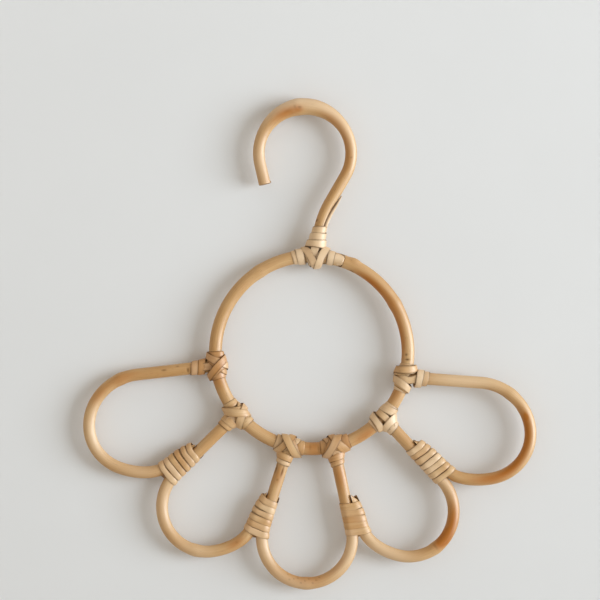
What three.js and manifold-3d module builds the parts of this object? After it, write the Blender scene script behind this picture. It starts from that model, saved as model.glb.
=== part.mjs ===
// A rattan hanger for small garments: a hook, a ring and a fan of five bent petals, all of round cane,
// pinned with brads and bound with flat strips of rattan peel.
// Sizes are in millimetres and angles in degrees. X points right, Z up, and the front faces -Y.
// The origin is where the hanger rests on a rail, under the crown of its hook.

import * as THREE from 'three';
import { mergeVertices } from 'three/addons/utils/BufferGeometryUtils.js';
import Module from 'manifold-3d';

// Ring, measured to the middle of its cane. Its two ends meet in a slanted scarf beside the hook.
const RING_RADIUS = 62.6;
const RING_CANE = 8.4;
const SCARF_LENGTH = 19;
const SCARF_FROM_HOOK = 13;

// Hook, from its foot on the ring up to its tip. Headings are taken from the X direction.
const HOOK_ANGLE = 88.7;
const HOOK_CANE = 7.7;
const FOOT_HEADING = 78;
const FOOT_RUN = 27.2;
const BEND_RADIUS = 60;
const NECK_HEADING = 60;
const NECK_RUN = 29.1;
const CROWN_RADIUS = 30;
const CROWN_SWEEP = 223;
const CROWN_CANE = 9.9;
const CROWN_SWELL = 40;
const TIP_RUN = 13.4;

// Petals from left to right. A petal's round end is an ellipse, centred a set length out from the ring's
// cane, and its neighbours stand a set gap away. Feet are arc lengths along the ring from the petal's axis.
// Only the middle petal has two feet: the others have one, and their other end is lapped.
const MIDDLE_PETAL_ANGLE = 268.6;
const PETAL_CANE = 7.8;
const PETAL_LENGTH = 57.9;
const PETAL_GAP = 1.4;
const MIDDLE_PETAL = 2;
const PETALS = [
  { halfLength: 33.5, halfWidth: 31.0, feet: [-15.8] },
  { halfLength: 30.0, halfWidth: 29.4, feet: [-17.9] },
  { halfLength: 29.6, halfWidth: 29.4, feet: [-13.8, 16.0] },
  { halfLength: 30.0, halfWidth: 29.4, feet: [17.8] },
  { halfLength: 33.5, halfWidth: 31.0, feet: [11.1] },
];

// Laps: a petal's free end is shaved flat to a tip and bound to a neighbour's leg, after a bare stretch of
// that leg. The turns fill the leg from there to a little past the end of its straight.
const LAP_OVERHANG = 3;
const LAPS = [
  { petal: 0, leg: 1, bare: 19.6, past: 6, tip: 1.6 },
  { petal: 1, leg: 2, bare: 19.6, past: 8, tip: 1.6 },
  { petal: 3, leg: 3, bare: 21.8, past: 4.5, tip: 3.5 },
  { petal: 4, leg: 4, bare: 10.2, past: 1, tip: 3.2 },
];

// Peel strips, and the turns of a lashing on each side of a leg and on the leg itself.
const PEEL_WIDTH = 3.2;
const PEEL_THICKNESS = 0.9;
const PEEL_SPACING = 1;
const PEEL_CLEARANCE = 0.3;
const LAYER_GAP = 0.7;
const FOOT_TURNS = { side: 1, leg: 2 };
const HOOK_TURNS = { side: 2, leg: 3 };

// Brads. Their heads lie just under the surface of the cane. A foot's brad goes through the ring and grips
// the leg, a lap's ends just past the middle of the leg, and the scarf's stops short of the ring's inside.
const BRAD_SHANK = 1.4;
const BRAD_HEAD = 2.6;
const BRAD_HEAD_HEIGHT = 0.8;
const BRAD_POINT = 2;
const BRAD_SINK = 0.3;
const FOOT_BRAD_GRIP = 13.5;
const LAP_BRAD_PLACE = 6;
const LAP_BRAD_PAST = 1;
const SCARF_BRAD_COVER = 1.1;

// Clearance between pieces that touch
const JOINT_GAP = 0.3;

// Fineness of the facets
const CANE_SIDES = 10;
const RING_STEPS = 84;
const STRAIGHT_STEP = 11;
const ARC_STEP = 4;
const LAP_STEPS = 17;
const LASHING_STEPS = 15;
const BRAD_SIDES = 8;
const GAP_SAMPLES = 4;

const CANE_MATERIAL = { color: '#d6a96c', roughness: 0.55, metalness: 0 };
const PEEL_MATERIAL = { color: '#cf9f60', roughness: 0.5, metalness: 0 };
const BRAD_MATERIAL = { color: '#b4b6b8', roughness: 0.35, metalness: 1 };

const PEEL_PITCH = PEEL_WIDTH + PEEL_SPACING;
const PEEL_RIDE = PEEL_CLEARANCE + PEEL_THICKNESS / 2;
const LAYER = PEEL_THICKNESS + LAYER_GAP;
const FRONT = new THREE.Vector3(0, -1, 0);
const { degToRad, radToDeg, lerp, smoothstep } = THREE.MathUtils;

const wasm = await Module();
wasm.setup();

// Points and directions in the plane of the hanger are pairs, with Z as the second number.
function heading(angle, length = 1) {
  return new THREE.Vector2(Math.cos(degToRad(angle)), Math.sin(degToRad(angle))).multiplyScalar(length);
}

function leftOf(direction) {
  return new THREE.Vector2(-direction.y, direction.x);
}

function inSpace(pair) {
  return new THREE.Vector3(pair.x, 0, pair.y);
}

function along(point, direction, distance) {
  return point.clone().addScaledVector(direction, distance);
}

// Solids for cutting, and geometry from what is left
function solid(geometry) {
  const bare = geometry.clone();
  bare.deleteAttribute('normal');
  bare.deleteAttribute('uv');
  const merged = mergeVertices(bare);
  const corners = merged.index.array;
  const faces = [];
  for (let i = 0; i < corners.length; i += 3) {
    const [a, b, c] = corners.slice(i, i + 3);
    if (a !== b && b !== c && c !== a) faces.push(a, b, c);
  }
  return new wasm.Manifold(new wasm.Mesh({
    numProp: 3,
    vertProperties: new Float32Array(merged.attributes.position.array),
    triVerts: new Uint32Array(faces),
  }));
}

function geometryOf(body) {
  const { vertProperties, triVerts } = body.getMesh();
  const geometry = new THREE.BufferGeometry();
  geometry.setAttribute('position', new THREE.BufferAttribute(vertProperties, 3));
  geometry.setIndex(new THREE.BufferAttribute(triVerts, 1));
  geometry.computeVertexNormals();
  return geometry;
}

// A closed body through rings of points that turn to the right about its path, with a flat cap on each end
function loft(rings) {
  const sides = rings[0].length;
  const faces = [];
  for (let ring = 0; ring + 1 < rings.length; ring++) {
    for (let side = 0; side < sides; side++) {
      const a = ring * sides + side;
      const b = ring * sides + (side + 1) % sides;
      faces.push(a, b, b + sides, a, b + sides, a + sides);
    }
  }
  const last = (rings.length - 1) * sides;
  for (let side = 1; side + 1 < sides; side++) {
    faces.push(0, side + 1, side, last, last + side, last + side + 1);
  }
  const geometry = new THREE.BufferGeometry().setFromPoints(rings.flat());
  geometry.setIndex(faces);
  geometry.computeVertexNormals();
  return geometry;
}

// Stations along a chain of curves, each with its place, its direction and its distance from the start
function stationsOf(curves) {
  const stations = [];
  let travelled = 0;
  for (const curve of curves) {
    const length = curve.getLength();
    const steps = Math.ceil(length / (curve.isLineCurve ? STRAIGHT_STEP : ARC_STEP));
    for (let i = stations.length ? 1 : 0; i <= steps; i++) {
      const share = i / steps;
      stations.push({
        point: curve.getPointAt(share),
        direction: curve.getTangentAt(share),
        distance: travelled + share * length,
      });
    }
    travelled += length;
  }
  return stations;
}

// Round cane along a path, with a radius that may change with the distance from its start
function cane(curves, radiusAt) {
  return loft(stationsOf(curves).map(({ point, direction, distance }) => {
    const inPlane = inSpace(leftOf(direction));
    const radius = radiusAt(distance);
    return Array.from({ length: CANE_SIDES }, (_, side) => {
      const turn = 2 * Math.PI * side / CANE_SIDES;
      return inSpace(point)
        .addScaledVector(inPlane, radius * Math.cos(turn))
        .addScaledVector(FRONT, radius * Math.sin(turn));
    });
  }));
}

// Layout of the petals: the pitch follows from their widths and the gap between them
function petalAngle(index) {
  const step = Math.sign(index - MIDDLE_PETAL);
  let angle = MIDDLE_PETAL_ANGLE;
  for (let i = MIDDLE_PETAL; i !== index; i += step) {
    const spacing = PETALS[i].halfWidth + PETALS[i + step].halfWidth + PETAL_CANE + PETAL_GAP;
    angle += step * 2 * radToDeg(Math.asin(spacing / 2 / (RING_RADIUS + PETAL_LENGTH)));
  }
  return angle;
}

// Where a straight from a point meets the round end of a petal, as the ellipse's own angle.
// Side is -1 for the clockwise side of the petal and 1 for the other.
function tangentTurn(point, petal, side) {
  const offset = point.clone().sub(petal.centre).rotateAround(new THREE.Vector2(), -degToRad(petal.angle));
  const scaled = new THREE.Vector2(offset.x / petal.halfLength, offset.y / petal.halfWidth);
  return Math.atan2(scaled.y, scaled.x) - side * Math.acos(1 / scaled.length());
}

function ellipsePoint(petal, turn) {
  return new THREE.Vector2(petal.halfLength * Math.cos(turn), petal.halfWidth * Math.sin(turn))
    .rotateAround(new THREE.Vector2(), degToRad(petal.angle))
    .add(petal.centre);
}

const petals = PETALS.map((sizes, index) => {
  const angle = petalAngle(index);
  return { ...sizes, angle, centre: heading(angle, RING_RADIUS + PETAL_LENGTH) };
});

// Legs in the order in which their feet are met round the ring, each straight from its foot to its round end
const legs = petals.flatMap((petal) => petal.feet.map((offset) => {
  const angle = petal.angle + radToDeg(offset / RING_RADIUS);
  const point = heading(angle, RING_RADIUS);
  const side = Math.sign(offset);
  const straight = ellipsePoint(petal, tangentTurn(point, petal, side)).sub(point);
  const direction = straight.clone().normalize();
  const radius = PETAL_CANE / 2;
  return { petal, angle, point, side, direction, length: straight.length(), radius, turns: FOOT_TURNS };
}));

const hookFoot = {
  angle: HOOK_ANGLE,
  point: heading(HOOK_ANGLE, RING_RADIUS),
  direction: heading(FOOT_HEADING),
  radius: HOOK_CANE / 2,
  turns: HOOK_TURNS,
};

// How far a lashing's turns reach along the leg from the middle of the ring
function firstLegTurn(joint) {
  const lean = Math.abs(Math.tan(degToRad(joint.angle) - joint.direction.angle()));
  const strand = PEEL_CLEARANCE + PEEL_THICKNESS;
  return RING_CANE / 2 + strand + LAYER_GAP + PEEL_WIDTH / 2 + lean * (joint.radius + strand);
}

function lashingReach(joint) {
  return firstLegTurn(joint) + PEEL_PITCH * (joint.turns.leg - 0.25) + PEEL_WIDTH / 2;
}

// Laps, with the direction from the leg that carries each towards the petal that is bound to it
const laps = LAPS.map(({ petal, leg, bare, past, tip }) => {
  const carrier = legs[leg];
  const start = lashingReach(carrier) + bare;
  const turns = Math.round((carrier.length + past - start) / PEEL_PITCH);
  const towards = leftOf(carrier.direction).multiplyScalar(carrier.side);
  const beside = along(carrier.point, carrier.direction, start - LAP_OVERHANG);
  const end = along(beside, towards, JOINT_GAP + tip);
  return { petal: petals[petal], carrier, start, turns, towards, end };
});

// The run of a petal's cane: out from its first foot, round, and back to the ring or to its lap
function petalCurves(petal) {
  const [first, second] = legs.filter((leg) => leg.petal === petal);
  const end = second ? second.point : laps.find((lap) => lap.petal === petal).end;
  const startTurn = tangentTurn(first.point, petal, first.side);
  const endTurn = tangentTurn(end, petal, -first.side);
  const round = new THREE.EllipseCurve(
    petal.centre.x, petal.centre.y, petal.halfLength, petal.halfWidth,
    startTurn, endTurn, first.side > 0, degToRad(petal.angle),
  );
  return [
    new THREE.LineCurve(first.point, ellipsePoint(petal, startTurn)),
    round,
    new THREE.LineCurve(ellipsePoint(petal, endTurn), end),
  ];
}

// The run of the hook's cane: up from the ring, a bend to the right, the neck, the crown and the tip
const bendReach = BEND_RADIUS * Math.tan(degToRad(FOOT_HEADING - NECK_HEADING) / 2);
const bendCorner = along(hookFoot.point, hookFoot.direction, FOOT_RUN);
const bendStart = along(bendCorner, hookFoot.direction, -bendReach);
const bendEnd = along(bendCorner, heading(NECK_HEADING), bendReach);
const bendCentre = along(bendStart, leftOf(hookFoot.direction), -BEND_RADIUS);
const crownStart = along(bendCorner, heading(NECK_HEADING), NECK_RUN);
const crownCentre = along(crownStart, leftOf(heading(NECK_HEADING)), CROWN_RADIUS);
const crownEnd = along(crownCentre, heading(NECK_HEADING - 90 + CROWN_SWEEP), CROWN_RADIUS);

const hookCurves = [
  new THREE.LineCurve(hookFoot.point, bendStart),
  new THREE.EllipseCurve(
    bendCentre.x, bendCentre.y, BEND_RADIUS, BEND_RADIUS,
    degToRad(FOOT_HEADING + 90), degToRad(NECK_HEADING + 90), true,
  ),
  new THREE.LineCurve(bendEnd, crownStart),
  new THREE.EllipseCurve(
    crownCentre.x, crownCentre.y, CROWN_RADIUS, CROWN_RADIUS,
    degToRad(NECK_HEADING - 90), degToRad(NECK_HEADING - 90 + CROWN_SWEEP), false,
  ),
  new THREE.LineCurve(crownEnd, along(crownEnd, heading(NECK_HEADING + CROWN_SWEEP), TIP_RUN)),
];

// The hook's cane swells gently towards the top of the crown, where it carries the load
const crownTop = hookCurves.slice(0, 3).reduce((sum, curve) => sum + curve.getLength(), 0)
  + CROWN_RADIUS * degToRad(180 - NECK_HEADING);

function hookRadius(distance) {
  const away = Math.min(1, Math.abs(distance - crownTop) / CROWN_SWELL);
  return lerp(HOOK_CANE, CROWN_CANE, Math.cos(away * Math.PI / 2) ** 2) / 2;
}

// Brads: a head, a straight shank and a point, driven along a direction from a place on the cane
function bradShape(length, grow, rise) {
  const shank = BRAD_SHANK / 2 + grow;
  const head = BRAD_HEAD / 2 + grow;
  const neck = BRAD_HEAD_HEIGHT + grow;
  const profile = [
    [0, -rise], [head, -rise], [head, neck], [shank, neck], [shank, length - BRAD_POINT], [0, length + grow],
  ];
  const points = profile.map(([radius, depth]) => new THREE.Vector2(radius, depth));
  return new THREE.LatheGeometry(points, BRAD_SIDES);
}

function driven(place, direction) {
  const start = inSpace(along(place, direction, BRAD_SINK));
  const turn = new THREE.Quaternion().setFromUnitVectors(new THREE.Vector3(0, 1, 0), inSpace(direction));
  return { position: start, quaternion: turn };
}

function bradHole({ length, position, quaternion }) {
  const room = bradShape(length, JOINT_GAP, BRAD_SINK + BRAD_HEAD);
  room.applyMatrix4(new THREE.Matrix4().compose(position, quaternion, new THREE.Vector3(1, 1, 1)));
  return solid(room);
}

function footBrad(joint) {
  const place = along(joint.point, joint.direction, -RING_CANE / 2);
  return { length: RING_CANE + FOOT_BRAD_GRIP - BRAD_SINK, ...driven(place, joint.direction) };
}

// Where a path crosses the line square to a leg, as the distance from the leg's axis
function offsetAt(stations, lap, distance) {
  const local = stations.map(({ point }) => {
    const offset = point.clone().sub(lap.carrier.point);
    return { along: offset.dot(lap.carrier.direction), across: offset.dot(lap.towards) };
  });
  for (let i = 0; i + 1 < local.length; i++) {
    const [near, far] = [local[i], local[i + 1]];
    const share = (distance - near.along) / (far.along - near.along);
    const beside = Math.abs(near.across) < 3 * PETAL_CANE;
    if (share >= 0 && share <= 1 && beside) return lerp(near.across, far.across, share);
  }
  throw new Error('a wrap lies past the leg that it binds');
}

// How fast a path parts from the leg's axis, taken over a pitch of the wrap on either side
function slopeAt(stations, lap, distance) {
  const from = Math.max(lap.start, distance - PEEL_PITCH);
  const to = distance + PEEL_PITCH;
  return (offsetAt(stations, lap, to) - offsetAt(stations, lap, from)) / (to - from);
}

const scarfAngle = HOOK_ANGLE - radToDeg(SCARF_FROM_HOOK / RING_RADIUS);
const scarfMiddle = heading(scarfAngle, RING_RADIUS);

const petalPaths = new Map(petals.map((petal) => [petal, stationsOf(petalCurves(petal))]));

function lapBrad(lap) {
  const distance = lap.start + LAP_BRAD_PLACE;
  const outside = offsetAt(petalPaths.get(lap.petal), lap, distance) + PETAL_CANE / 2;
  const place = along(along(lap.carrier.point, lap.carrier.direction, distance), lap.towards, outside);
  return { length: outside + LAP_BRAD_PAST - BRAD_SINK, ...driven(place, lap.towards.clone().negate()) };
}

const footBrads = legs.map(footBrad);
const hookBrad = footBrad(hookFoot);
const lapBrads = laps.map(lapBrad);
const ringBrad = {
  length: RING_CANE - BRAD_SINK - SCARF_BRAD_COVER,
  ...driven(heading(scarfAngle, RING_RADIUS + RING_CANE / 2), heading(scarfAngle + 180)),
};

// Ring: a hoop cut through by a thin slanted slice, with holes for the brads
function hoop(grow) {
  const shape = new THREE.TorusGeometry(RING_RADIUS, RING_CANE / 2 + grow, CANE_SIDES, RING_STEPS);
  return solid(shape.rotateX(Math.PI / 2));
}

function scarfCut() {
  const slope = Math.atan2(RING_CANE, SCARF_LENGTH);
  const slice = new THREE.BoxGeometry(SCARF_LENGTH + 2 * RING_CANE, 2 * RING_CANE, JOINT_GAP);
  slice.rotateY(degToRad(90 - scarfAngle) + slope);
  slice.translate(scarfMiddle.x, 0, scarfMiddle.y);
  return solid(slice);
}

function ringCane() {
  const holes = [...footBrads, hookBrad, ringBrad].map(bradHole);
  return holes.reduce((body, hole) => body.subtract(hole), hoop(0).subtract(scarfCut()));
}

// Legs are coped round the ring, and a lapped end is shaved flat against the leg that carries it
const copingTube = hoop(JOINT_GAP);

function shaving(lap) {
  const reach = LAP_OVERHANG + lap.turns * PEEL_PITCH + PETAL_CANE;
  const block = new THREE.BoxGeometry(2 * reach, 2 * PETAL_CANE, 2 * PETAL_CANE);
  const face = PETAL_CANE / 2 + JOINT_GAP - PETAL_CANE;
  const middle = along(along(lap.carrier.point, lap.carrier.direction, lap.start), lap.towards, face);
  block.rotateY(-lap.carrier.direction.angle());
  block.translate(middle.x, 0, middle.y);
  return solid(block);
}

function petalCane(petal) {
  const cuts = [copingTube, ...footBrads.filter((_, i) => legs[i].petal === petal).map(bradHole)];
  laps.forEach((lap, i) => {
    if (lap.petal === petal) cuts.push(shaving(lap));
    if (lap.petal === petal || lap.carrier.petal === petal) cuts.push(bradHole(lapBrads[i]));
  });
  const shape = cane(petalCurves(petal), () => PETAL_CANE / 2);
  return cuts.reduce((body, cut) => body.subtract(cut), solid(shape));
}

function hookCane() {
  return solid(cane(hookCurves, hookRadius)).subtract(copingTube).subtract(bradHole(hookBrad));
}

// Flat strip of peel through a strand of points, each with the direction that its face looks
function sectionsOf(strand) {
  return strand.map(({ point, normal }, i) => {
    const before = strand[Math.max(0, i - 1)].point;
    const after = strand[Math.min(strand.length - 1, i + 1)].point;
    const direction = after.clone().sub(before).normalize();
    const sideways = normal.clone().cross(direction).normalize().multiplyScalar(PEEL_WIDTH / 2);
    const up = direction.cross(sideways).normalize().multiplyScalar(PEEL_THICKNESS / 2);
    return [[1, -1], [1, 1], [-1, 1], [-1, -1]].map(([across, over]) => (
      point.clone().addScaledVector(sideways, across).addScaledVector(up, over)
    ));
  });
}

// Least distance between points of a strip that lie more than two widths apart along it
function leastGap(sections) {
  const points = [];
  let travelled = 0;
  for (let i = 0; i + 1 < sections.length; i++) {
    const step = sections[i][0].clone().lerp(sections[i][2], 0.5)
      .distanceTo(sections[i + 1][0].clone().lerp(sections[i + 1][2], 0.5));
    for (let j = 0; j < GAP_SAMPLES; j++) {
      const share = j / GAP_SAMPLES;
      const distance = travelled + step * share;
      const [a, b, c, d] = sections[i].map((corner, k) => corner.clone().lerp(sections[i + 1][k], share));
      for (let k = 0; k <= GAP_SAMPLES; k++) {
        points.push({ distance, point: a.clone().lerp(d, k / GAP_SAMPLES) });
        points.push({ distance, point: b.clone().lerp(c, k / GAP_SAMPLES) });
      }
    }
    travelled += step;
  }
  let least = Infinity;
  points.forEach((one, i) => {
    for (let j = i + 1; j < points.length; j++) {
      if (points[j].distance - one.distance > 2 * PEEL_WIDTH) {
        least = Math.min(least, one.point.distanceToSquared(points[j].point));
      }
    }
  });
  return Math.sqrt(least);
}

function strip(name, strand) {
  const sections = sectionsOf(strand);
  console.log(`${name}: least gap to itself ${leastGap(sections).toFixed(2)} mm`);
  return loft(sections);
}

// Wrap round a leg and the end lapped on it: a left-handed helix on an outline of two half circles
// and two straights, which starts and ends in the middle of the back
function lapWrap(lap) {
  const bow = PETAL_CANE / 2 + PEEL_RIDE;
  const leg = petalPaths.get(lap.carrier.petal);
  const lapped = petalPaths.get(lap.petal);
  const strand = [];
  for (let i = 0; i <= lap.turns * LAP_STEPS; i++) {
    const turn = i / LAP_STEPS;
    const distance = lap.start + turn * PEEL_PITCH;
    const near = offsetAt(leg, lap, distance);
    const flat = offsetAt(lapped, lap, distance) - near;
    const round = lap.carrier.side < 0 ? turn % 1 : 1 - turn % 1;
    const run = round * (2 * Math.PI * bow + 2 * flat);
    const { across, swing } = stadium(run, bow, flat);
    const slope = slopeAt(Math.cos(swing) > 0 ? lapped : leg, lap, distance);
    const square = along(lap.towards, lap.carrier.direction, -slope);
    const normal = inSpace(square).multiplyScalar(Math.cos(swing)).addScaledVector(FRONT, Math.sin(swing));
    const middle = along(lap.carrier.point, lap.carrier.direction, distance);
    const point = inSpace(along(middle, lap.towards, near + across)).addScaledVector(normal, bow);
    strand.push({ point, normal: normal.normalize() });
  }
  return strand;
}

// Place on the outline after a run from the middle of its back: the bow's centre across, and the face's swing
function stadium(run, bow, flat) {
  const bend = Math.PI * bow;
  const quarter = Math.PI / 2;
  if (run < flat / 2) return { across: flat / 2 + run, swing: -quarter };
  if (run < flat / 2 + bend) return { across: flat, swing: (run - flat / 2) / bow - quarter };
  if (run < 1.5 * flat + bend) return { across: 1.5 * flat + bend - run, swing: quarter };
  if (run < 1.5 * flat + 2 * bend) return { across: 0, swing: (run - 1.5 * flat - bend) / bow + quarter };
  return { across: run - 1.5 * flat - 2 * bend, swing: 3 * quarter };
}

// A point of a lashing on the ring, by its arc length from the leg and its turns round the cane.
// A whole turn is outside, a quarter more is the front, a half is inside and three quarters is the back.
function onRing(joint, across, turn, lift) {
  const outward = inSpace(heading(joint.angle + radToDeg(across / RING_RADIUS)));
  const normal = outward.clone().multiplyScalar(Math.cos(2 * Math.PI * turn))
    .addScaledVector(FRONT, Math.sin(2 * Math.PI * turn));
  const point = outward.multiplyScalar(RING_RADIUS).addScaledVector(normal, RING_CANE / 2 + PEEL_RIDE + lift);
  return { point, normal };
}

// Place and direction of a cane at a distance from its start
function traceAt(curves, distance) {
  let left = distance;
  const curve = curves.find((piece) => {
    const length = piece.getLength();
    if (left <= length) return true;
    left -= length;
    return false;
  });
  const share = left / curve.getLength();
  return { point: curve.getPointAt(share), direction: curve.getTangentAt(share) };
}

// A point of a lashing on the leg, by its distance from the ring and its turns round the leg
function onLeg(joint, distance, turn) {
  const { point, direction } = traceAt(joint.curves, distance);
  const normal = inSpace(leftOf(direction)).multiplyScalar(Math.cos(2 * Math.PI * turn))
    .addScaledVector(FRONT, Math.sin(2 * Math.PI * turn));
  return { point: inSpace(point).addScaledVector(normal, joint.radius + PEEL_RIDE), normal };
}

// A hump that rises between the first two values, stays at one layer and falls between the last two
function hump(value, rise, top, fall, end) {
  return LAYER * smoothstep(value, rise, top) * (1 - smoothstep(value, fall, end));
}

// Lashing of a leg to the ring in one strand: turns on the right of the leg, a pass over the front to its
// left, turns there, a second pass that crosses the first, and turns up the leg. Right and left are as seen
// from the ring's centre, looking at the back.
function lashing(joint) {
  const { side, leg } = joint.turns;
  const lean = joint.direction.angle() - degToRad(joint.angle);
  const middle = (RING_CANE / 2 + PEEL_RIDE) * Math.tan(lean);
  const beside = joint.radius / Math.cos(lean) + 2 * PEEL_CLEARANCE + PEEL_WIDTH / 2;
  const right = middle - beside;
  const left = middle + beside;
  const innerLeft = left - PEEL_PITCH / 2;
  const innerRight = right + PEEL_PITCH / 2;
  const strand = [];

  function pass(from, to, across, lift = () => 0) {
    const steps = Math.ceil((to - from) * LASHING_STEPS);
    for (let i = strand.length ? 1 : 0; i <= steps; i++) {
      const share = i / steps;
      const turn = lerp(from, to, share);
      strand.push(onRing(joint, across(share), turn, lift(turn % 1)));
    }
  }

  function swerve(from, to, begin = 0, end = 1) {
    return (share) => lerp(from, to, smoothstep(share, begin, end));
  }

  function climb(from, to) {
    return (share) => lerp(from, to, share);
  }

  const outerRight = right - PEEL_PITCH * side;
  const outerLeft = left + PEEL_PITCH * side;
  const overBackPass = (turn) => hump(turn, 0.36, 0.5, 0.88, 1);
  const overFrontPass = (turn) => hump(turn, 0.06, 0.19, 0.4, 0.52);
  pass(-0.25, side, climb(outerRight - PEEL_PITCH / 4, right));
  pass(side, side + 0.5, swerve(right, innerLeft));
  pass(side + 0.5, side + 1, swerve(innerLeft, outerLeft, 0.1, 0.8));
  pass(side + 1, 2 * side + 1, climb(outerLeft, left), overBackPass);
  pass(2 * side + 1, 2 * side + 1.5, swerve(left, innerRight), overFrontPass);
  pass(2 * side + 1.5, 2 * side + 1.75, swerve(innerRight, innerRight / 3));

  const start = firstLegTurn(joint);
  const lastOnRing = strand.at(-1);
  const firstOnLeg = onLeg(joint, start - PEEL_PITCH / 4, 0.75);
  for (const share of [1 / 3, 2 / 3]) {
    strand.push({
      point: lastOnRing.point.clone().lerp(firstOnLeg.point, share),
      normal: lastOnRing.normal.clone().lerp(firstOnLeg.normal, share).normalize(),
    });
  }
  for (let i = 0; i <= leg * LASHING_STEPS; i++) {
    const turn = i / LASHING_STEPS + 0.75;
    strand.push(onLeg(joint, start + PEEL_PITCH * (turn - 1), turn));
  }
  return strand;
}

// Assembly: the ring's centre hangs below the seat, which is the origin
const hanger = new THREE.Group();
hanger.position.set(-crownCentre.x, 0, -(crownCentre.y + CROWN_RADIUS - CROWN_CANE / 2));

function addPiece(name, geometry, material, { position, quaternion } = {}) {
  const mesh = new THREE.Mesh(geometry, new THREE.MeshStandardMaterial(material));
  mesh.name = name;
  if (position) mesh.position.copy(position);
  if (quaternion) mesh.quaternion.copy(quaternion);
  hanger.add(mesh);
}

function addBrad(name, brad) {
  addPiece(name, bradShape(brad.length, 0, 0), BRAD_MATERIAL, brad);
}

function addStrip(name, strand) {
  addPiece(name, strip(name, strand), PEEL_MATERIAL);
}

addPiece('ring_cane', geometryOf(ringCane()), CANE_MATERIAL);
addPiece('hook_cane', geometryOf(hookCane()), CANE_MATERIAL);
petals.forEach((petal, i) => addPiece(`petal_cane_${i + 1}`, geometryOf(petalCane(petal)), CANE_MATERIAL));

addStrip('hook_lashing', lashing({ ...hookFoot, curves: hookCurves }));
legs.forEach((leg, i) => {
  const straight = new THREE.LineCurve(leg.point, along(leg.point, leg.direction, leg.length));
  addStrip(`foot_lashing_${i + 1}`, lashing({ ...leg, curves: [straight] }));
});
laps.forEach((lap, i) => addStrip(`lap_wrap_${i + 1}`, lapWrap(lap)));

addBrad('ring_brad', ringBrad);
addBrad('hook_brad', hookBrad);
footBrads.forEach((brad, i) => addBrad(`foot_brad_${i + 1}`, brad));
lapBrads.forEach((brad, i) => addBrad(`lap_brad_${i + 1}`, brad));

export default hanger;
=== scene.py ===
# Looks of a rattan hanger: smooth canes with nodes, scars and stains, bound with crowned strips of peel,
# in front of a pale wall.
# Sizes are in millimetres and angles in degrees until a mesh is made. X points right, Z up, and the front
# faces -Y. Routes are worked out round the ring's centre. The origin of the meshes is the seat under the
# hook's crown.

import bisect
import math
from collections import namedtuple

import bpy
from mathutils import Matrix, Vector, noise


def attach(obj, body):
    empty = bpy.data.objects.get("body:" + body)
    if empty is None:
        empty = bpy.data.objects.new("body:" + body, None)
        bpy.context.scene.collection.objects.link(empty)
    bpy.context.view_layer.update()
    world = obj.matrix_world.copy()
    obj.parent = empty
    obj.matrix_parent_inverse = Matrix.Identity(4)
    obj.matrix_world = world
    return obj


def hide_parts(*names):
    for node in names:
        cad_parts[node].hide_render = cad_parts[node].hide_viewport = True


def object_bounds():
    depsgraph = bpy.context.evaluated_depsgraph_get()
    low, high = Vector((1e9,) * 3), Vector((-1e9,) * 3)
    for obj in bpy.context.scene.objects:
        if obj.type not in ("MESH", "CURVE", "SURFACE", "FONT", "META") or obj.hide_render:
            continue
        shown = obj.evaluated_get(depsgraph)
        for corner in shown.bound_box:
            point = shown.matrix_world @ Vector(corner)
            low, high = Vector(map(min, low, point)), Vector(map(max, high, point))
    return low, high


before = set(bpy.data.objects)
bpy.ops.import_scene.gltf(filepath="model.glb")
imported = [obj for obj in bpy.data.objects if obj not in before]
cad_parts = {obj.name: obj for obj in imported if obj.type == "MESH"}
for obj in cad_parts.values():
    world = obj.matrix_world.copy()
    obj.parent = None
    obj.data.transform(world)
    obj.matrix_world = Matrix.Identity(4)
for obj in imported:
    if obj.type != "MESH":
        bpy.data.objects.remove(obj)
cad_low, cad_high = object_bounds()

MM = 0.001
BODY = "root"

# Ring
RING_RADIUS = 62.6
RING_CANE = 8.4
SCARF_LENGTH = 19.0
SCARF_TIP = 3.6
SCARF_FROM_HOOK = 13.0

# Hook
HOOK_ANGLE = 88.7
HOOK_CANE = 7.7
FOOT_HEADING = 78.0
FOOT_RUN = 27.2
BEND_RADIUS = 60.0
NECK_HEADING = 60.0
NECK_RUN = 29.1
CROWN_RADIUS = 30.0
CROWN_SWEEP = 223.0
CROWN_CANE = 9.9
CROWN_SWELL = 40.0
TIP_RUN = 13.4
SCARF_ANGLE = HOOK_ANGLE - math.degrees(SCARF_FROM_HOOK / RING_RADIUS)

# Petals from left to right: half length and half width of the round end, and feet as arc lengths on
# the ring from the petal's middle
MIDDLE_PETAL_ANGLE = 268.6
PETAL_CANE = 7.8
PETAL_LENGTH = 57.9
PETAL_GAP = 1.4
MIDDLE_PETAL = 2
PETALS = [
    dict(half_length=33.5, half_width=31.0, feet=[-15.8]),
    dict(half_length=30.0, half_width=29.4, feet=[-17.9]),
    dict(half_length=29.6, half_width=29.4, feet=[-13.8, 16.0]),
    dict(half_length=30.0, half_width=29.4, feet=[17.8]),
    dict(half_length=33.5, half_width=31.0, feet=[11.1]),
]

# Laps: which petal's end is bound to which leg, after a bare stretch of that leg. The wrap goes on past the
# leg's straight. The end is cut on a slant at its tip, and its point reaches past the first turn by over.
LAPS = [
    dict(petal=0, leg=1, bare=19.6, past=6.0, tip=2.0, over=3.0),
    dict(petal=1, leg=2, bare=19.6, past=8.0, tip=1.6, over=3.4),
    dict(petal=3, leg=3, bare=21.8, past=4.5, tip=2.4, over=5.0),
    dict(petal=4, leg=4, bare=10.2, past=1.0, tip=2.8, over=2.0),
]
LAP_DRAW = 2.5
LAP_DRAW_FROM = 10.0
LAP_FADE = 26.0
LAP_SLANT = 45.0
LAP_NEAR = 3 * PETAL_CANE

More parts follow.
